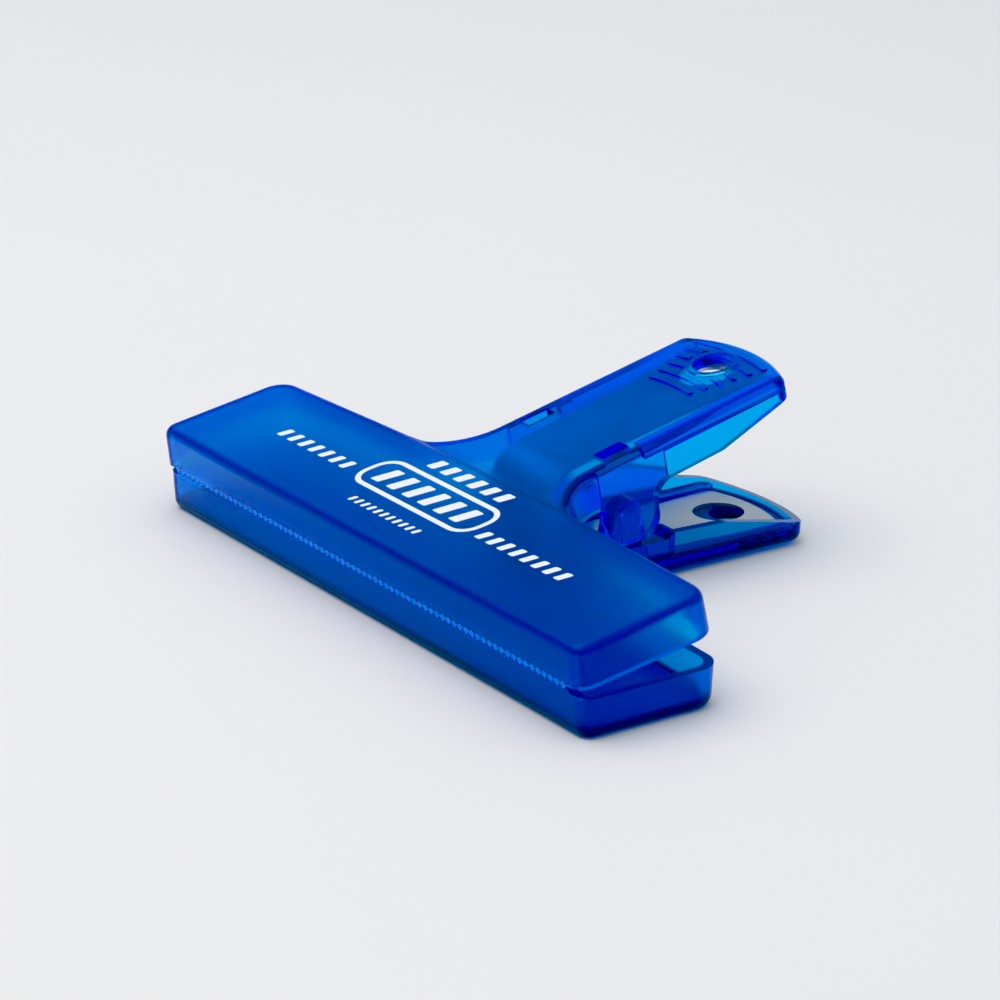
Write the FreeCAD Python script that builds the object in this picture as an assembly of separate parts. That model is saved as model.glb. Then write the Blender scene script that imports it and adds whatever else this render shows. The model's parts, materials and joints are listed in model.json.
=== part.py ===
import FreeCAD, Part
import math
import os
from FreeCAD import Vector, Placement, Rotation

# A wide-jaw spring clip. Two moulded T-shaped trays face each other, hinged on ears and pins
# that belong to the mouldings, and a folded leaf spring between the handles holds the toothed
# jaws shut.
#
# Each tray is modelled lying on its outer plate: +X along the jaw, +Y from the front lip to
# the handle tip, +Z towards the other tray. Lengths in mm, angles in degrees.

# Jaw
JAW_WIDTH = 115.4
JAW_DEPTH = 26.1          # front lip to back wall, beside the handle
BACK_TAPER = 0.048        # the wings get shallower by this much per mm outwards
RIM_HEIGHT = 6.3          # outer plate to rim
FRONT_CORNER = 2.6
BACK_CORNER = 4.6
DRAFT = 3.0               # the walls lean outwards from plate to rim

# Walls
PLATE = 1.6
WALL = 1.5
EDGE_ROUND = 1.6          # along the edge of the outer plate, keeping the wall even

# Teeth along the front lip; the two rows mesh around MESH_HEIGHT
TOOTH_PITCH = 1.5
TOOTH_COUNT = 72
TOOTH_VALLEY = 6.35
TOOTH_CREST = 7.05
MESH_HEIGHT = (TOOTH_VALLEY + TOOTH_CREST) / 2
MESH_GAP = 0.06

# Crease: the jaw plate rolls inwards, then meets the handle plate in a small hollow
ROLL_Y = 24.2
ROLL_RADIUS = 3.7
CREASE_Y = 25.12
CREASE_Z = 0.447
CREASE_BLEND = 0.6

# Handle, with v along its plate from the foot of the pivot and w inwards from the plate
HANDLE_HALF = 13.35
ROOT_FILLET = 10.0
HANDLE_TIP = 35.4         # v of the tip
TIP_RADIUS = 28.0
TIP_CORNER = 2.6
UPPER_RISE = 3.7          # the upper handle bends away from the line of its jaw
LOWER_RISE = 0.0
RIM_BLEND = 4.0
UPPER_RIM = [(7.2, 6.9), (18.2, 6.68), (42.0, 1.5)]
LOWER_RIM = [(7.1, 6.75), (16.9, 6.42), (42.0, 1.1)]
LOWER_RAMP_Y = 46.5       # the lower rim is level up to here, then steps up to the handle
RAMP_BLEND = 0.8

# Hinge
PIVOT_Y = 40.9
CLOSED_ANGLE = 9.63       # between the jaw plates when shut
EAR_INNER = 10.95
EAR_FRONT = 36.4
EAR_BACK = 45.6
EAR_DROP = 3.2            # ear end beyond the pivot
EAR_CORNER = 3.2
EAR_STEP = 0.1            # the handle rim drops this much on its way to the ear
EAR_BLEND = 3.5
THICK_END = 48.7          # the handle walls are thick from EAR_FRONT to here
SEAT_RADIUS = 1.86
SEAT_END = 12.1
LEAD_HALF = 1.95
LEAD_END = 11.55
PIN_RADIUS = 1.8
PIN_END = 11.95
LUG_INNER = 8.3
LUG_OUTER = 10.75
LUG_RADIUS = 2.9
LUG_FOOT_HALF = 4.6
LUG_BLOCK_INNER = 8.9     # solid between the lower lugs and the handle walls

# Handle details
HOLE_V = 27.75
HOLE_RADIUS = 3.3
RING_RADIUS = 4.1
RIB_CLEAR_RADIUS = 4.7    # the ribs beside the hole stop short of the ring
RIB_COUNT = 6
RIB_FIRST_V = 32.1
RIB_PITCH = 2.47
RIB_FIRST_HALF = 9.17
RIB_STEP = 0.74           # each rib is shorter than the one before
RIB_RADIUS = 36.0
RIB_WIDTH = 1.0
RELIEF = 0.35             # height of ribs and ring
WINDOW_INNER = 8.4
WINDOW_OUTER = 10.9
WINDOW_V = (-1.8, 3.2)
RAIL_INNER = 9.5
RAIL_HEIGHT = 1.3
RAIL_V = (5.0, 31.6)

# Leaf spring
STRIP = 0.5
SPRING_X = 0.35           # centre, between the two trays' centres
SPRING_GAP = 0.05         # to the plates it lies on
BEND_Y = 36.0
ROOT_HALF = 7.4
MIDDLE_HALF = 7.8
MIDDLE_V = 16.0
TIP_HALF = 9.0
SPRING_TIP_V = 32.3
SPRING_TIP_RADIUS = 25.0
SPRING_CORNER = 2.0
SPRING_HOLE_V = 25.85
SPRING_HOLE_RADIUS = 4.1

# Worked out from the above
HALF_WIDTH = JAW_WIDTH / 2
PIVOT_Z = MESH_HEIGHT + MESH_GAP / 2 + PIVOT_Y * math.tan(math.radians(CLOSED_ANGLE / 2))
TRAY_SHIFT = TOOTH_PITCH / 2      # the lower tray sits half a tooth to +X
FAR = 80.0                        # beyond every part


def point(x, y, z):
    return Vector(x, y, z)


def line(a, b):
    return Part.LineSegment(a, b).toShape()


def arc(a, b, c):
    return Part.Arc(a, b, c).toShape()


def box(x0, x1, y0, y1, z0, z1):
    return Part.makeBox(x1 - x0, y1 - y0, z1 - z0, point(x0, y0, z0))


def both_sides(solid):
    return [solid, solid.mirror(point(0, 0, 0), Vector(1, 0, 0))]


def corner_arc(before, corner, after, radius):
    """Start, middle and end of the arc that rounds a corner of a path."""
    back = (before - corner).normalize()
    on = (after - corner).normalize()
    half = back.getAngle(on) / 2
    inwards = (back + on).normalize()
    reach = radius / math.tan(half)
    middle = corner + inwards * (radius / math.sin(half) - radius)
    return corner + back * reach, middle, corner + on * reach


def joined_wire(stretches):
    """Closed wire through single points and three-point arcs, with lines between them."""
    edges = []
    for i, stretch in enumerate(stretches):
        following = stretches[(i + 1) % len(stretches)]
        if len(stretch) == 3:
            edges.append(arc(*stretch))
        if stretch[-1].distanceToPoint(following[0]) > 1e-6:
            edges.append(line(stretch[-1], following[0]))
    return Part.Wire(edges)


def side_slab(corners, x0=-FAR, x1=FAR):
    """Solid between two x planes with the given side view: corners as (y, z) or (y, z, radius)."""
    points = [point(x0, corner[0], corner[1]) for corner in corners]
    stretches = []
    for i, corner in enumerate(corners):
        if len(corner) == 3:
            after = points[(i + 1) % len(points)]
            stretches.append(corner_arc(points[i - 1], points[i], after, corner[2]))
        else:
            stretches.append((points[i],))
    return Part.Face(joined_wire(stretches)).extrude(point(x1 - x0, 0, 0))


class Handle:
    """Frame of one handle: v along its plate from the foot of the pivot, w inwards from it."""

    def __init__(self, rise):
        along = point(0, math.cos(math.radians(rise)), -math.sin(math.radians(rise)))
        crease = point(0, CREASE_Y, CREASE_Z)
        pivot = point(0, PIVOT_Y, PIVOT_Z)
        self.foot = crease + along * (pivot - crease).dot(along)
        self.placement = Placement(self.foot, Rotation(Vector(1, 0, 0), -rise))
        self.pivot_height = self.foot.distanceToPoint(pivot)
        self.tip_y = self.at(HANDLE_TIP, 0)[0]

    def at(self, v, w):
        placed = self.placement.multVec(point(0, v, w))
        return placed.y, placed.z

    def put(self, solid):
        solid.Placement = self.placement.multiply(solid.Placement)
        return solid


def flip_x(stretch):
    return tuple(point(-p.x, p.y, p.z) for p in reversed(stretch))


def tray_outline(inset, z, tip_y):
    """T-shaped plan of a tray at height z, moved in from the rim outline by inset."""
    def back_wall(x):
        return JAW_DEPTH - BACK_TAPER * (x - HANDLE_HALF) - inset

    end_x = HALF_WIDTH - inset
    side_x = HANDLE_HALF - inset
    front_left = point(-end_x, inset, z)
    front = point(end_x, inset, z)
    back = point(end_x, back_wall(end_x), z)
    root = point(side_x, back_wall(side_x), z)

    # handle tip: a shallow arc with rounded corners
    tip_radius = TIP_RADIUS - inset
    tip_centre = point(0, tip_y - TIP_RADIUS, z)
    round_off = max(TIP_CORNER - inset, 0.4)
    corner_x = side_x - round_off
    corner_y = tip_centre.y + math.sqrt((tip_radius - round_off) ** 2 - corner_x ** 2)
    corner = point(corner_x, corner_y, z)
    out = (corner - tip_centre).normalize()
    side_end = point(side_x, corner_y, z)
    middle = corner + (out + Vector(1, 0, 0)).normalize() * round_off
    tip_start = corner + out * round_off

    right = [corner_arc(front_left, front, back, FRONT_CORNER - inset),
             corner_arc(front, back, root, BACK_CORNER - inset),
             corner_arc(back, root, side_end, ROOT_FILLET + inset),
             (side_end, middle, tip_start)]
    tip = (tip_start, point(0, tip_y - inset, z), point(-tip_start.x, tip_start.y, z))
    return joined_wire(right + [tip] + [flip_x(stretch) for stretch in reversed(right)])


def tray_prism(inset, tip_y, low=-6.0, high=16.0):
    """T-shaped block whose walls lean outwards towards the rim."""
    lean = math.tan(math.radians(DRAFT))
    wires = [tray_outline(inset + (RIM_HEIGHT - z) * lean, z, tip_y) for z in (low, high)]
    return Part.makeLoft(wires, True, True)


def round_plate_edge(block):
    """Round the edge between the outer plate and the walls."""
    plate_faces = []
    for face in block.Faces:
        u0, u1, v0, v1 = face.ParameterRange
        if face.normalAt((u0 + u1) / 2, (v0 + v1) / 2).z < -0.8:
            plate_faces.append(face)
    edges = [edge for face in plate_faces for edge in face.Edges]
    outer = [edge for edge in edges if sum(edge.isSame(other) for other in edges) == 1]
    return block.makeFillet(EDGE_ROUND, outer)


def tray_shell(handle, rim, thick_inner):
    """Open tray with the given rim line, its handle walls thick beside the hinge."""
    far_y, far_z = handle.at(HANDLE_TIP + 6, 0)
    outer = [(-5, 0), (ROLL_Y, 0, ROLL_RADIUS), (CREASE_Y, CREASE_Z, CREASE_BLEND),
             (far_y, far_z)]
    block = tray_prism(0, handle.tip_y).common(side_slab(outer + rim))
    block = round_plate_edge(block)

    floor = [(-5, PLATE), (ROLL_Y, PLATE), (CREASE_Y, CREASE_Z + PLATE),
             handle.at(HANDLE_TIP + 6, PLATE), (far_y, 15), (-5, 15)]
    cavity = tray_prism(WALL, handle.tip_y).common(side_slab(floor))
    for side in both_sides(box(thick_inner, 20, EAR_FRONT, THICK_END, -6, 20)):
        cavity = cavity.cut(side)
    return block.cut(cavity)


def tooth_row():
    base = RIM_HEIGHT - 0.6
    first = -TOOTH_COUNT * TOOTH_PITCH / 2
    corners = [point(-first, 0, base), point(first, 0, base), point(first, 0, TOOTH_VALLEY)]
    for i in range(TOOTH_COUNT):
        x = first + i * TOOTH_PITCH
        corners.append(point(x + TOOTH_PITCH / 2, 0, TOOTH_CREST))
        corners.append(point(x + TOOTH_PITCH, 0, TOOTH_VALLEY))
    return Part.Face(Part.makePolygon(corners + corners[:1])).extrude(point(0, WALL, 0))


def thumb_rib(half, v):
    """Curved rib with round ends on the outside of the handle plate."""
    inner = RIB_RADIUS - RIB_WIDTH / 2
    outer = RIB_RADIUS + RIB_WIDTH / 2
    angle = math.asin((half - RIB_WIDTH / 2) / RIB_RADIUS)
    end = math.asin(half / RIB_RADIUS)

    def polar(radius, a):
        return point(radius * math.sin(a), v - RIB_RADIUS + radius * math.cos(a), -RELIEF)

    loop = [(polar(outer, -angle), polar(outer, 0), polar(outer, angle)),
            (polar(outer, angle), polar(RIB_RADIUS, end), polar(inner, angle)),
            (polar(inner, angle), polar(inner, 0), polar(inner, -angle)),
            (polar(inner, -angle), polar(RIB_RADIUS, -end), polar(outer, -angle))]
    return Part.Face(joined_wire(loop)).extrude(point(0, 0, RELIEF + 0.3))


def disc(radius, v, low, high):
    """Round of the handle plate at v, between two heights."""
    return Part.makeCylinder(radius, high - low, point(0, v, low))


def outside_relief():
    """Thumb ribs and the ring round the hang hole."""
    ribs = [thumb_rib(RIB_FIRST_HALF - i * RIB_STEP, RIB_FIRST_V - i * RIB_PITCH)
            for i in range(RIB_COUNT)]
    clear = disc(RIB_CLEAR_RADIUS, HOLE_V, -1, 1)
    beside_hole = [rib.cut(clear) for rib in ribs[1:]]
    return ribs[:1] + beside_hole + [disc(RING_RADIUS, HOLE_V, -RELIEF, 0.3)]


def hang_hole():
    return disc(HOLE_RADIUS, HOLE_V, -5, 5)


def rails():
    """Low ledges along the inside of the handle walls that keep the spring central."""
    return both_sides(box(RAIL_INNER, HANDLE_HALF - WALL / 2, *RAIL_V, PLATE / 2, PLATE + RAIL_HEIGHT))


def pivot_disc(radius, x0, x1):
    return Part.makeCylinder(radius, x1 - x0, point(x0, PIVOT_Y, PIVOT_Z), Vector(1, 0, 0))


def make_upper(handle):
    """Upper tray, lying on its outer plate."""
    ear_end = PIVOT_Z + EAR_DROP
    root, bend, end = [handle.at(*point_on_rim) for point_on_rim in UPPER_RIM]
    rim = [end, (*bend, RIM_BLEND), (EAR_BACK, root[1] + EAR_STEP, EAR_BLEND),
           (EAR_BACK, ear_end, EAR_CORNER), (EAR_FRONT, ear_end, EAR_CORNER),
           (EAR_FRONT, RIM_HEIGHT, 1.0), (-5, RIM_HEIGHT)]
    tray = tray_shell(handle, rim, EAR_INNER)
    added = outside_relief() + rails()
    tray = tray.multiFuse([handle.put(solid) for solid in added] + [tooth_row()])

    seat = pivot_disc(SEAT_RADIUS, EAR_INNER - 1, SEAT_END)
    lead = box(EAR_INNER - 1, LEAD_END, PIVOT_Y - LEAD_HALF, PIVOT_Y + LEAD_HALF,
               PIVOT_Z, ear_end + 1)
    window = handle.put(box(WINDOW_INNER, WINDOW_OUTER, *WINDOW_V, -2, PLATE + 1))
    holes = both_sides(seat) + both_sides(lead) + both_sides(window) + [handle.put(hang_hole())]
    for hole in holes:
        tray = tray.cut(hole)
    return tray.removeSplitter()


def lower_lug():
    """Lug at +X, tapering up to a round top about the pivot, with its pin."""
    foot = PLATE
    height = PIVOT_Z - foot
    slant = math.hypot(LUG_FOOT_HALF, height)
    tilt = math.atan2(LUG_FOOT_HALF, height) + math.asin(LUG_RADIUS / slant)
    side_y = LUG_RADIUS * math.cos(tilt)
    side_z = PIVOT_Z + LUG_RADIUS * math.sin(tilt)
    top = (point(LUG_INNER, PIVOT_Y + side_y, side_z),
           point(LUG_INNER, PIVOT_Y, PIVOT_Z + LUG_RADIUS),
           point(LUG_INNER, PIVOT_Y - side_y, side_z))
    feet = [(point(LUG_INNER, PIVOT_Y - LUG_FOOT_HALF, foot),),
            (point(LUG_INNER, PIVOT_Y + LUG_FOOT_HALF, foot),)]
    plate = Part.Face(joined_wire([top] + feet)).extrude(point(LUG_OUTER - LUG_INNER, 0, 0))
    return plate.fuse(pivot_disc(PIN_RADIUS, LUG_OUTER - 0.5, PIN_END))


def make_lower(handle):
    root, bend, end = [handle.at(*point_on_rim) for point_on_rim in LOWER_RIM]
    rim = [end, (*bend, RIM_BLEND), (*root, RAMP_BLEND), (LOWER_RAMP_Y, RIM_HEIGHT, RAMP_BLEND),
           (-5, RIM_HEIGHT)]
    tray = tray_shell(handle, rim, LUG_BLOCK_INNER)
    added = outside_relief() + rails()
    tray = tray.multiFuse([handle.put(solid) for solid in added] + [tooth_row()])
    tray = tray.cut(handle.put(hang_hole()))
    tray.translate(point(TRAY_SHIFT, 0, 0))
    return tray.multiFuse(both_sides(lower_lug())).removeSplitter()


def spring_arm(start_v):
    """One arm of the spring, flat about w = 0, from the fold to its rounded tip."""
    right = [point(ROOT_HALF, start_v, 0), point(MIDDLE_HALF, MIDDLE_V, 0),
             point(TIP_HALF, SPRING_TIP_V - 2.5, 0), point(TIP_HALF, SPRING_TIP_V + 2, 0)]
    left = [point(-p.x, p.y, p.z) for p in reversed(right)]
    loop = Part.makePolygon(right + left + right[:1])
    arm = Part.Face(loop).extrude(point(0, 0, STRIP))
    arm = arm.common(Part.makeCylinder(SPRING_TIP_RADIUS, STRIP,
                                       point(0, SPRING_TIP_V - SPRING_TIP_RADIUS, 0)))
    corners = [edge for edge in arm.Edges
               if abs(edge.tangentAt(edge.FirstParameter).z) > 0.99
               and edge.BoundBox.YMin > SPRING_TIP_V - 2.4]
    arm = arm.makeFillet(SPRING_CORNER, corners)
    arm = arm.cut(disc(SPRING_HOLE_RADIUS, SPRING_HOLE_V, -1, 2))
    arm.translate(point(SPRING_X, 0, -STRIP / 2))
    return arm


def make_spring(upper_handle, lower_handle):
    """Strip folded through more than half a turn, its arms flat against the two plates."""
    inset = PLATE + SPRING_GAP + STRIP / 2
    tilt = math.radians(CLOSED_ANGLE + UPPER_RISE)
    along = point(0, math.cos(tilt), math.sin(tilt))
    normal = point(0, -math.sin(tilt), math.cos(tilt))
    pivot = point(0, PIVOT_Y, PIVOT_Z)
    low_z = CREASE_Z + inset
    on_upper = pivot + normal * (upper_handle.pivot_height - inset)

    # the fold touches both arms
    high_z = on_upper.z + (BEND_Y - PIVOT_Y + normal.y * (inset - upper_handle.pivot_height)) \
        * math.tan(tilt)
    radius = (high_z - low_z) * math.cos(tilt) / (1 + math.cos(tilt))
    centre = point(SPRING_X - ROOT_HALF, BEND_Y, low_z + radius)

    def on_fold(r, angle):
        return centre + point(0, r * math.cos(angle), r * math.sin(angle))

    first = math.pi / 2 + tilt
    last = 3 * math.pi / 2
    middle = (first + last) / 2
    inner = radius - STRIP / 2
    outer = radius + STRIP / 2
    loop = [(on_fold(inner, first), on_fold(inner, middle), on_fold(inner, last)),
            (on_fold(outer, last), on_fold(outer, middle), on_fold(outer, first))]
    fold = Part.Face(joined_wire(loop)).extrude(point(2 * ROOT_HALF, 0, 0))

    lower_arm = spring_arm(BEND_Y - PIVOT_Y)
    lower_arm.translate(point(0, PIVOT_Y, low_z))
    upper_arm = spring_arm((centre - pivot).dot(along))
    upper_arm.Placement = Placement(on_upper, Rotation(Vector(1, 0, 0), math.degrees(tilt))
                                    ).multiply(upper_arm.Placement)
    return fold.multiFuse([lower_arm, upper_arm]).removeSplitter()


def closed(shape):
    """Turn the upper tray over onto the lower one and shut it."""
    pivot = point(0, PIVOT_Y, PIVOT_Z)
    shape = shape.mirror(pivot, Vector(0, 0, 1))
    shape.rotate(pivot, Vector(1, 0, 0), CLOSED_ANGLE)
    return shape


def main():
    upper_handle = Handle(UPPER_RISE)
    lower_handle = Handle(LOWER_RISE)
    shapes = {"upper_shell": closed(make_upper(upper_handle)),
              "lower_shell": make_lower(lower_handle),
              "leaf_spring": make_spring(upper_handle, lower_handle)}

    bounds = FreeCAD.BoundBox()
    for shape in shapes.values():
        bounds.add(shape.optimalBoundingBox())
    shift = point(-bounds.Center.x, -bounds.Center.y, -bounds.ZMin)
    os.makedirs("parts", exist_ok=True)
    for name, shape in shapes.items():
        shape.translate(shift)
        print(name, shape.ShapeType, "solids", len(shape.Solids), "valid", shape.isValid(),
              "volume", round(shape.Volume, 1))
        shape.exportStep(f"parts/{name}.step")

    print("size", round(bounds.XLength, 3), round(bounds.YLength, 3), round(bounds.ZLength, 3))
    print("shift", shift)
    print("hinge", point(0, PIVOT_Y, PIVOT_Z) + shift)
    middle = PLATE / 2
    lower_hole = lower_handle.placement.multVec(point(0, HOLE_V, middle))
    print("lower hole", lower_hole + point(TRAY_SHIFT, 0, 0) + shift)
    marker = closed(Part.Vertex(upper_handle.placement.multVec(point(0, HOLE_V, middle))))
    print("upper hole", marker.Point + shift)


main()
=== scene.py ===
"""Looks of the bag clip: translucent blue mouldings, a steel leaf spring, white print and a studio."""

import json
import math

import bmesh
import bpy
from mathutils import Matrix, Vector


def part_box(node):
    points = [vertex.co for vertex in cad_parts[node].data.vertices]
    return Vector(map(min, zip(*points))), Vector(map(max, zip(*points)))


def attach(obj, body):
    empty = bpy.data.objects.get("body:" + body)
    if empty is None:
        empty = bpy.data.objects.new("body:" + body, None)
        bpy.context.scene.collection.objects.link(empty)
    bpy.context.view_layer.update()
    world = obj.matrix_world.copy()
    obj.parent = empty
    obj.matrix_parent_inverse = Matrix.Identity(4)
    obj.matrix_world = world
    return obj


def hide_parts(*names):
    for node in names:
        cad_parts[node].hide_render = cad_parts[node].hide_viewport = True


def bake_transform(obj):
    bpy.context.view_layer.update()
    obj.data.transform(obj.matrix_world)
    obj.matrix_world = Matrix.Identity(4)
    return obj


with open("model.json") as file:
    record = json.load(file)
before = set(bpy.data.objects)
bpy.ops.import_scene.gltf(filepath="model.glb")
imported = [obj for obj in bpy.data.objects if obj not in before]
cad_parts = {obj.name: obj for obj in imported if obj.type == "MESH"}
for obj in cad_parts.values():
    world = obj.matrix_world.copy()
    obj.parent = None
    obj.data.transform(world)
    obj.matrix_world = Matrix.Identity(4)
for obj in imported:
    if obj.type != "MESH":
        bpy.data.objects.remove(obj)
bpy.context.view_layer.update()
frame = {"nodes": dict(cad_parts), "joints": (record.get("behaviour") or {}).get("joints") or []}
MM = 0.001
HINGE = Vector(frame["joints"][0]["pos_m"])
UPPER = frame["nodes"]["upper_shell"]
LOWER = frame["nodes"]["lower_shell"]

# Camera: it looks at a point near the hinge, from the +X front corner
CAMERA_AZIMUTH = 55.98
CAMERA_ELEVATION = 19.85
CAMERA_DISTANCE = 571.8 * MM
CAMERA_AIM = HINGE + Vector((-5.84, -11.36, 0.0)) * MM
CAMERA_LENS = 134.95
CAMERA_SENSOR = 36.0

# Studio: a pale backdrop low down, dim bluish walls above it and a bright ceiling. Each row is
# the height on a unit sphere and the light that comes from there. One soft lamp hangs above.
BACKDROP_LIGHT = (0.72, 0.74, 0.80, 1.0)
WALL_LIGHT = (0.13, 0.21, 0.42, 1.0)
CEILING_LIGHT = (0.90, 0.87, 0.86, 1.0)
STUDIO_LIGHT = [
    (0.0, BACKDROP_LIGHT),
    (0.15, BACKDROP_LIGHT),
    (0.30, WALL_LIGHT),
    (0.75, CEILING_LIGHT),
]
LAMP_PLACE = (-0.2, -0.25, 1.0)
LAMP_SIZE = 0.9
LAMP_POWER = 6.1
LAMP_COLOUR = (1.0, 0.98, 0.96)
FLOOR_HALF = 6.0
FLOOR_DROP = 0.02 * MM      # keeps the floor from lying in the face of the lower plate
BLACK_LEVEL = (0.06, 0.018, 0.0)      # colour grade: purer blues


# ---------------------------------------------------------------- node helpers

def new_material(name):
    material = bpy.data.materials.new(name)
    material.use_nodes = True
    material.node_tree.nodes.clear()
    return material


class Nodes:
    """Adds nodes to one material and links them."""

    def __init__(self, material):
        self.tree = material.node_tree

    def add(self, kind, **settings):
        node = self.tree.nodes.new(kind)
        for key, value in settings.items():
            if hasattr(node, key):
                setattr(node, key, value)
            else:
                node.inputs[key.replace("_", " ")].default_value = value
        return node

    def link(self, source, target):
        self.tree.links.new(source, target)

    def position(self):
        return self.add("ShaderNodeTexCoord").outputs["Object"]

    def stretched(self, vector, scale):
        mapping = self.add("ShaderNodeMapping")
        mapping.inputs["Scale"].default_value = scale
        self.link(vector, mapping.inputs["Vector"])
        return mapping.outputs["Vector"]

    def noise(self, vector, scale, detail=2.0, roughness=0.5):
        node = self.add("ShaderNodeTexNoise", Scale=scale, Detail=detail, Roughness=roughness)
        self.link(vector, node.inputs["Vector"])
        return node.outputs["Fac"]

    def ramp(self, value, low, high, to_low, to_high, smooth=False):
        node = self.add("ShaderNodeMapRange")
        node.interpolation_type = "SMOOTHSTEP" if smooth else "LINEAR"
        for socket, number in zip(("From Min", "From Max", "To Min", "To Max"),
                                  (low, high, to_low, to_high)):
            node.inputs[socket].default_value = number
        self.link(value, node.inputs["Value"])
        return node.outputs["Result"]

    def maths(self, operation, first, second):
        node = self.add("ShaderNodeMath", operation=operation)
        for socket, value in zip(node.inputs, (first, second)):
            if isinstance(value, (int, float)):
                socket.default_value = value
            else:
                self.link(value, socket)
        return node.outputs["Value"]

    def blended(self, first, second, amount):
        node = self.add("ShaderNodeMix")
        for value, socket in ((first, "A"), (second, "B"), (amount, "Factor")):
            self.link(value, node.inputs[socket])
        return node.outputs["Result"]

    def bump(self, height, strength, distance, normal=None):
        node = self.add("ShaderNodeBump", Strength=strength, Distance=distance)
        self.link(height, node.inputs["Height"])
        if normal is not None:
            self.link(normal, node.inputs["Normal"])
        return node.outputs["Normal"]

    def finish(self, surface, volume=None):
        output = self.add("ShaderNodeOutputMaterial")
        self.link(surface, output.inputs["Surface"])
        if volume is not None:
            self.link(volume, output.inputs["Volume"])


# ---------------------------------------------------------------- materials

# Fraction of red, green and blue light that is left after one 1.6 mm plate
PLATE_THICKNESS = 1.6 * MM
PLATE_PASSES = (0.02, 0.48, 0.995)

# The polished band of the teeth, along the front lip
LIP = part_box("upper_shell")[0].y
PARTING_HEIGHT = 6.73 * MM
TEETH_REACH = 1.2 * MM

# The lower handle stands this far off the table, and the lower jaw lies on it
HANDLE_LIFT = 0.45 * MM

# The crease between jaw and handle, where the finish of the plastic changes
CREASE = HINGE.y - 15.5 * MM
CREASE_BLEND = 0.6 * MM

# Roughness of the plastic, on the handle and then on the jaw
WALL_ROUGHNESS = (0.09, 0.3)
PLATE_ROUGHNESS = (0.22, 0.32)
ROUGHNESS_SPREAD = 0.02
TEETH_POLISH = 0.3          # what is left of the roughness on the teeth

PLASTIC_CLEAR = (0.97, 0.985, 1.0, 1.0)
PLASTIC_REFLECTION = (0.25, 0.5, 1.0, 1.0)
PLASTIC_IOR = 1.49
# Painted shade: base colours that darken the rounded plate edges of each tray, and the height above
# the table up to which the walls of the lower tray are painted dark
UPPER_EDGE_PAINTED_SHADE = (0.35, 0.45, 0.78)
LOWER_EDGE_PAINTED_SHADE = (0.01, 0.025, 0.1)
LOWER_SHADE_BAND_TOP = 1.95 * MM


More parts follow.
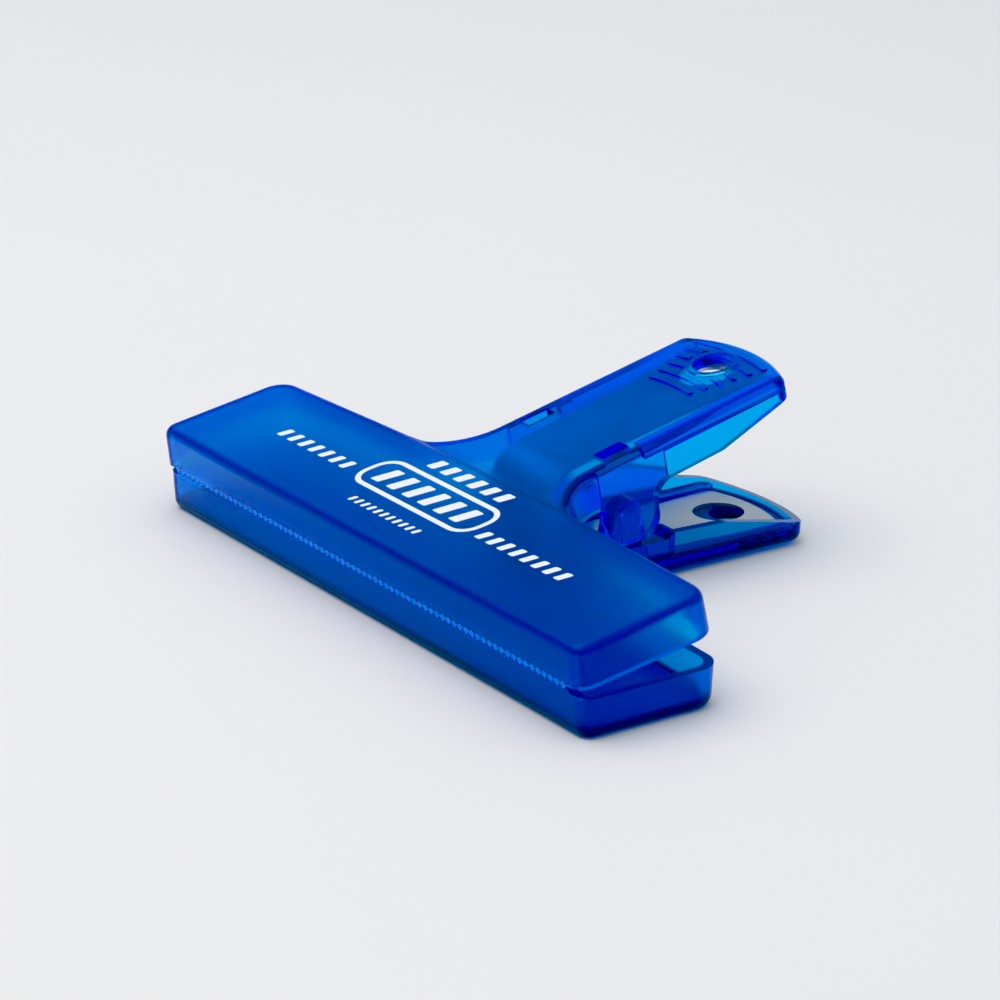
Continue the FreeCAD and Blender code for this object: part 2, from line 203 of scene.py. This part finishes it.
def blue_plastic(name, outward, edge_shade_colour, shade_band_top):
    """Clear dyed plastic: its colour comes from its depth. The outside of the plate, whose
    normals point along outward, is satin, and so are the jaws; the handle walls are polished.
    Its base colour is painted darker on the rounded edges of the plate and on the walls below
    the given band height, where they run into the plate: painted shade for the dark bands
    along these edges and for the contact shadow under the tray."""
    material = new_material(name)
    n = Nodes(material)
    place = n.position()
    split = n.add("ShaderNodeSeparateXYZ")
    n.link(place, split.inputs["Vector"])
    jaw = n.ramp(split.outputs["Y"], CREASE - CREASE_BLEND, CREASE + CREASE_BLEND, 1.0, 0.0,
                 smooth=True)
    facing = n.add("ShaderNodeSeparateXYZ")
    n.link(n.add("ShaderNodeTexCoord").outputs["Normal"], facing.inputs["Vector"])
    from_inside = n.add("ShaderNodeNewGeometry").outputs["Backfacing"]
    turned = n.ramp(from_inside, 0.0, 1.0, outward, -outward)
    out = n.maths("MULTIPLY", facing.outputs["Z"], turned)
    # Painted shade mask: the rounded plate edges, and the upright walls low down near the table
    plate = n.ramp(out, 0.1, 0.4, 0.0, 1.0, smooth=True)
    round_shade = n.maths("MULTIPLY", plate, n.ramp(out, 0.86, 0.985, 1.0, 0.0, smooth=True))
    upright = n.ramp(n.maths("ABSOLUTE", out, 0.0), 0.5, 0.7, 1.0, 0.0)
    lift = n.ramp(jaw, 0.0, 1.0, HANDLE_LIFT, 0.0)
    above_table = n.maths("SUBTRACT", split.outputs["Z"], lift)
    wall_foot_shade = n.ramp(above_table, 0.85 * shade_band_top, shade_band_top, 1.0, 0.0, smooth=True)
    painted_shade_mask = n.maths("MAXIMUM", round_shade, n.maths("MULTIPLY", wall_foot_shade, upright))

    cloud = n.noise(place, 140.0, 3.0)
    walls = n.ramp(jaw, 0.0, 1.0, *WALL_ROUGHNESS)
    plates = n.ramp(jaw, 0.0, 1.0, *PLATE_ROUGHNESS)
    off_parting = n.maths("ABSOLUTE", n.maths("SUBTRACT", split.outputs["Z"], PARTING_HEIGHT), 0.0)
    behind_lip = n.maths("SUBTRACT", split.outputs["Y"], LIP)
    off_teeth = n.maths("MAXIMUM", off_parting, n.maths("MULTIPLY", behind_lip, 0.5))
    teeth = n.ramp(off_teeth, TEETH_REACH * 0.9, TEETH_REACH * 1.1, 1.0, 0.0)
    satin = n.blended(walls, plates, plate)
    roughness = n.maths("MULTIPLY", satin, n.ramp(teeth, 0.0, 1.0, 1.0, TEETH_POLISH))
    spread = n.ramp(cloud, 0.3, 0.7, -ROUGHNESS_SPREAD, ROUGHNESS_SPREAD)
    varied = n.maths("ADD", roughness, spread)

    flow = n.noise(n.stretched(place, (0.6, 1.0, 1.0)), 90.0, 2.0)
    grain = n.noise(place, 9000.0, 2.0)
    wavy = n.bump(flow, 0.1, 0.0002)
    normal = n.bump(n.maths("MULTIPLY", grain, plate), 0.12, 0.00002, wavy)

    shader = n.add("ShaderNodeBsdfPrincipled")
    # Base colour: clear plastic, mixed towards the painted shade colour by that mask
    tint = n.add("ShaderNodeMix", data_type="RGBA")
    tint.inputs["A"].default_value = PLASTIC_CLEAR
    tint.inputs["B"].default_value = (*edge_shade_colour, 1.0)
    n.link(painted_shade_mask, tint.inputs["Factor"])
    n.link(tint.outputs["Result"], shader.inputs["Base Color"])
    shader.inputs["Transmission Weight"].default_value = 1.0
    shader.inputs["IOR"].default_value = PLASTIC_IOR
    shader.inputs["Specular Tint"].default_value = PLASTIC_REFLECTION
    n.link(varied, shader.inputs["Roughness"])
    n.link(normal, shader.inputs["Normal"])

    density = -math.log(min(PLATE_PASSES)) / PLATE_THICKNESS
    volume = n.add("ShaderNodeVolumeAbsorption")
    volume.inputs["Density"].default_value = density
    kept = [1.0 + math.log(part) / PLATE_THICKNESS / density for part in PLATE_PASSES]
    volume.inputs["Color"].default_value = (*kept, 1.0)
    n.finish(shader.outputs["BSDF"], volume.outputs["Volume"])
    return material


def spring_steel():
    """Rolled strip with fine lines along its length."""
    material = new_material("spring_steel")
    n = Nodes(material)
    place = n.position()
    lines = n.noise(n.stretched(place, (1.0, 0.03, 0.03)), 6000.0, 3.0, 0.6)
    cloud = n.noise(place, 180.0, 3.0)
    shader = n.add("ShaderNodeBsdfPrincipled", Metallic=1.0)
    tint = n.add("ShaderNodeMix", data_type="RGBA")
    tint.inputs["A"].default_value = (0.56, 0.56, 0.545, 1.0)
    tint.inputs["B"].default_value = (0.74, 0.74, 0.725, 1.0)
    n.link(n.maths("MULTIPLY", lines, n.ramp(cloud, 0.2, 0.8, 0.7, 1.3)), tint.inputs["Factor"])
    n.link(tint.outputs["Result"], shader.inputs["Base Color"])
    n.link(n.ramp(lines, 0.3, 0.7, 0.34, 0.46), shader.inputs["Roughness"])
    n.link(n.bump(lines, 0.15, 0.00002), shader.inputs["Normal"])
    shader.inputs["Anisotropic"].default_value = 0.4
    n.finish(shader.outputs["BSDF"])
    return material


def white_ink():
    material = new_material("white_ink")
    n = Nodes(material)
    place = n.position()
    speckle = n.noise(place, 5000.0, 2.0)
    tint = n.add("ShaderNodeMix", data_type="RGBA")
    tint.inputs["A"].default_value = (0.70, 0.75, 0.86, 1.0)
    tint.inputs["B"].default_value = (0.80, 0.84, 0.92, 1.0)
    n.link(speckle, tint.inputs["Factor"])
    shader = n.add("ShaderNodeBsdfPrincipled")
    n.link(tint.outputs["Result"], shader.inputs["Base Color"])
    n.link(n.ramp(speckle, 0.3, 0.7, 0.45, 0.6), shader.inputs["Roughness"])
    n.link(n.bump(speckle, 0.1, 0.00001), shader.inputs["Normal"])
    n.finish(shader.outputs["BSDF"])
    return material


def table_top():
    material = new_material("table_top")
    n = Nodes(material)
    place = n.position()
    cloud = n.noise(place, 6.0, 3.0)
    tint = n.add("ShaderNodeMix", data_type="RGBA")
    tint.inputs["A"].default_value = (0.735, 0.738, 0.730, 1.0)
    tint.inputs["B"].default_value = (0.762, 0.765, 0.757, 1.0)
    n.link(cloud, tint.inputs["Factor"])
    shader = n.add("ShaderNodeBsdfPrincipled", Roughness=0.6)
    n.link(tint.outputs["Result"], shader.inputs["Base Color"])
    n.finish(shader.outputs["BSDF"])
    return material


# ---------------------------------------------------------------- surfaces

WELD = 0.002 * MM           # points this close are one point
SHARP_ANGLE = math.radians(28.0)


def smooth_group():
    """Modifier that joins the faces of a shell and keeps only its real edges sharp."""
    group = bpy.data.node_groups.new("smooth_by_angle", "GeometryNodeTree")
    group.interface.new_socket("Geometry", in_out="INPUT", socket_type="NodeSocketGeometry")
    group.interface.new_socket("Geometry", in_out="OUTPUT", socket_type="NodeSocketGeometry")
    nodes = group.nodes
    source = nodes.new("NodeGroupInput")
    merge = nodes.new("GeometryNodeMergeByDistance")
    merge.inputs["Distance"].default_value = WELD
    angle = nodes.new("GeometryNodeInputMeshEdgeAngle")
    compare = nodes.new("FunctionNodeCompare")
    compare.operation = "LESS_THAN"
    compare.inputs["B"].default_value = SHARP_ANGLE
    shade = nodes.new("GeometryNodeSetShadeSmooth")
    shade.domain = "EDGE"
    faces = nodes.new("GeometryNodeSetShadeSmooth")
    target = nodes.new("NodeGroupOutput")
    links = group.links
    links.new(source.outputs[0], merge.inputs["Geometry"])
    links.new(merge.outputs[0], faces.inputs["Geometry"])
    links.new(faces.outputs[0], shade.inputs["Geometry"])
    links.new(angle.outputs["Unsigned Angle"], compare.inputs["A"])
    links.new(compare.outputs["Result"], shade.inputs["Shade Smooth"])
    links.new(shade.outputs[0], target.inputs[0])
    return group


SMOOTH = smooth_group()


def smooth(obj):
    modifier = obj.modifiers.new("smooth_by_angle", "NODES")
    modifier.node_group = SMOOTH


def dress(obj, material):
    obj.data.materials.clear()
    obj.data.materials.append(material)
    smooth(obj)


def add_object(name, mesh, material):
    obj = bpy.data.objects.new(name, mesh)
    bpy.context.scene.collection.objects.link(obj)
    mesh.materials.clear()
    mesh.materials.append(material)
    return obj


# ---------------------------------------------------------------- leaf spring

def make_spring(material):
    """A welded, smoothly shaded copy of the strip, in place of the hidden CAD part."""
    low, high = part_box("leaf_spring")
    mesh = frame["nodes"]["leaf_spring"].data.copy()
    bm = bmesh.new()
    bm.from_mesh(mesh)
    bmesh.ops.remove_doubles(bm, verts=bm.verts, dist=WELD)
    bm.to_mesh(mesh)
    bm.free()
    spring = add_object("spring_strip", mesh, material)
    smooth(spring)
    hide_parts("leaf_spring")
    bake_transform(spring)
    return spring


# ---------------------------------------------------------------- print

# The upper plate: x from the middle of the jaw, y from the front lip, both in mm
PIVOT_FROM_LIP = 40.9
PIVOT_FROM_PLATE = 10.175
CLOSED_ANGLE = math.radians(9.63)
INK_HEIGHT = 0.04

# The marks, in mm on that plate: a border, then rows of bars by their two ends, their y, how many
# there are, and the width and depth of each bar
BORDER_CENTRE = (-0.7, 14.2)
BORDER_OUTER = (31.4, 8.8, 3.6)      # width, depth, corner radius
BORDER_BAND = 0.9
BAR_ROWS = [
    (-12.4, 11.0, 14.2, 6, 2.1, 4.4),
    (-38.8, -19.2, 12.3, 7, 1.4, 2.4),
    (16.8, 38.2, 12.3, 8, 1.4, 2.4),
    (-9.4, 8.8, 6.4, 11, 0.8, 1.5),
    (-9.4, 10.4, 21.4, 6, 1.9, 2.7),
]
BAR_CORNER = 0.3
BAR_SLANT = 0.25
CORNER_STEPS = 6


def on_upper_plate(x, y, height):
    along = y - PIVOT_FROM_LIP
    out = PIVOT_FROM_PLATE + height
    return HINGE + Vector((x, along * math.cos(CLOSED_ANGLE) - out * math.sin(CLOSED_ANGLE),
                           along * math.sin(CLOSED_ANGLE) + out * math.cos(CLOSED_ANGLE))) * MM


def rounded_outline(x, y, width, depth, radius, slant=0.0):
    """Corner-rounded box about (x, y), leaning to the right by slant per mm."""
    points = []
    for quarter, (side, end) in enumerate(((1, 1), (-1, 1), (-1, -1), (1, -1))):
        for step in range(CORNER_STEPS + 1):
            angle = math.pi / 2 * (quarter + step / CORNER_STEPS)
            px = side * (width / 2 - radius) + radius * math.cos(angle)
            py = end * (depth / 2 - radius) + radius * math.sin(angle)
            points.append((x + px + slant * py, y + py))
    return points


def add_patch(bm, outline, inner=None):
    """Thin raised patch of ink, or a band when it has an inner outline."""
    rings = [outline] + ([inner] if inner else [])
    low, high = ([[bm.verts.new(on_upper_plate(*point, height)) for point in ring]
                  for ring in rings] for height in (-INK_HEIGHT / 2, INK_HEIGHT))
    count = len(outline)
    for i in range(count):
        j = (i + 1) % count
        bm.faces.new((low[0][i], low[0][j], high[0][j], high[0][i]))
        if inner:
            bm.faces.new((low[1][j], low[1][i], high[1][i], high[1][j]))
            bm.faces.new((high[0][i], high[0][j], high[1][j], high[1][i]))
            bm.faces.new((low[0][j], low[0][i], low[1][i], low[1][j]))
    if not inner:
        bm.faces.new(high[0])
        bm.faces.new(low[0][::-1])


def add_row(bm, x0, x1, y, count, width, depth):
    """Evenly spaced slanted bars whose ends reach x0 and x1."""
    for i in range(count):
        x = x0 + width / 2 + (x1 - x0 - width) * i / (count - 1)
        add_patch(bm, rounded_outline(x, y, width, depth, BAR_CORNER, BAR_SLANT))


def make_print(material):
    """White marks on the upper jaw: a framed row of bars, a row beside each end of it, and
    a short row in front of it and behind it."""
    bm = bmesh.new()
    width, depth, radius = BORDER_OUTER
    outer = rounded_outline(*BORDER_CENTRE, width, depth, radius)
    inner = rounded_outline(*BORDER_CENTRE, width - 2 * BORDER_BAND, depth - 2 * BORDER_BAND,
                            radius - BORDER_BAND)
    add_patch(bm, outer, inner)
    for row in BAR_ROWS:
        add_row(bm, *row)
    mesh = bpy.data.meshes.new("white_print")
    bm.to_mesh(mesh)
    bm.free()
    marks = add_object("white_print", mesh, material)
    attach(marks, "upper_half")


# ---------------------------------------------------------------- studio

def add_camera():
    azimuth = math.radians(CAMERA_AZIMUTH)
    elevation = math.radians(CAMERA_ELEVATION)
    back = Vector((math.sin(azimuth) * math.cos(elevation),
                   -math.cos(azimuth) * math.cos(elevation),
                   math.sin(elevation)))
    data = bpy.data.cameras.new("camera")
    data.lens = CAMERA_LENS
    data.sensor_width = CAMERA_SENSOR
    data.clip_start = 0.01
    camera = bpy.data.objects.new("camera", data)
    bpy.context.scene.collection.objects.link(camera)
    camera.location = CAMERA_AIM + back * CAMERA_DISTANCE
    camera.rotation_euler = back.to_track_quat("Z", "Y").to_euler()
    bpy.context.scene.camera = camera


def add_lamp():
    """A square softbox above the clip that faces the origin."""
    data = bpy.data.lights.new("overhead", "AREA")
    data.shape = "SQUARE"
    data.size = LAMP_SIZE
    data.energy = LAMP_POWER
    data.color = LAMP_COLOUR
    light = bpy.data.objects.new("overhead", data)
    bpy.context.scene.collection.objects.link(light)
    light.location = LAMP_PLACE
    light.rotation_euler = Vector(LAMP_PLACE).to_track_quat("Z", "Y").to_euler()


def add_studio():
    mesh = bpy.data.meshes.new("floor")
    half = FLOOR_HALF
    mesh.from_pydata([(-half, -half, 0), (half, -half, 0), (half, half, 0), (-half, half, 0)],
                     [], [(0, 1, 2, 3)])
    floor = add_object("floor", mesh, table_top())
    floor.location.z = -FLOOR_DROP

    world = bpy.data.worlds.new("studio")
    world.use_nodes = True
    tree = world.node_tree
    split = tree.nodes.new("ShaderNodeSeparateXYZ")
    tree.links.new(tree.nodes.new("ShaderNodeTexCoord").outputs["Generated"], split.inputs["Vector"])
    shades = tree.nodes.new("ShaderNodeValToRGB")
    ramp = shades.color_ramp
    ramp.elements[0].position, ramp.elements[0].color = STUDIO_LIGHT[0]
    ramp.elements[1].position, ramp.elements[1].color = STUDIO_LIGHT[-1]
    for position, colour in STUDIO_LIGHT[1:-1]:
        ramp.elements.new(position).color = colour
    tree.links.new(split.outputs["Z"], shades.inputs["Fac"])
    tree.links.new(shades.outputs["Color"], tree.nodes["Background"].inputs["Color"])
    bpy.context.scene.world = world
    add_lamp()


def set_rendering():
    scene = bpy.context.scene
    scene.view_settings.view_transform = "Standard"
    scene.view_settings.use_curve_mapping = True
    curves = scene.view_settings.curve_mapping
    curves.black_level = BLACK_LEVEL
    curves.update()
    scene.cycles.max_bounces = 24
    scene.cycles.transmission_bounces = 24
    scene.cycles.glossy_bounces = 8
    scene.cycles.diffuse_bounces = 6


dress(UPPER, blue_plastic("upper_plastic", 1.0, UPPER_EDGE_PAINTED_SHADE, 0.0))
dress(LOWER, blue_plastic("lower_plastic", -1.0, LOWER_EDGE_PAINTED_SHADE, LOWER_SHADE_BAND_TOP))
make_spring(spring_steel())
make_print(white_ink())
add_camera()
add_studio()
set_rendering()
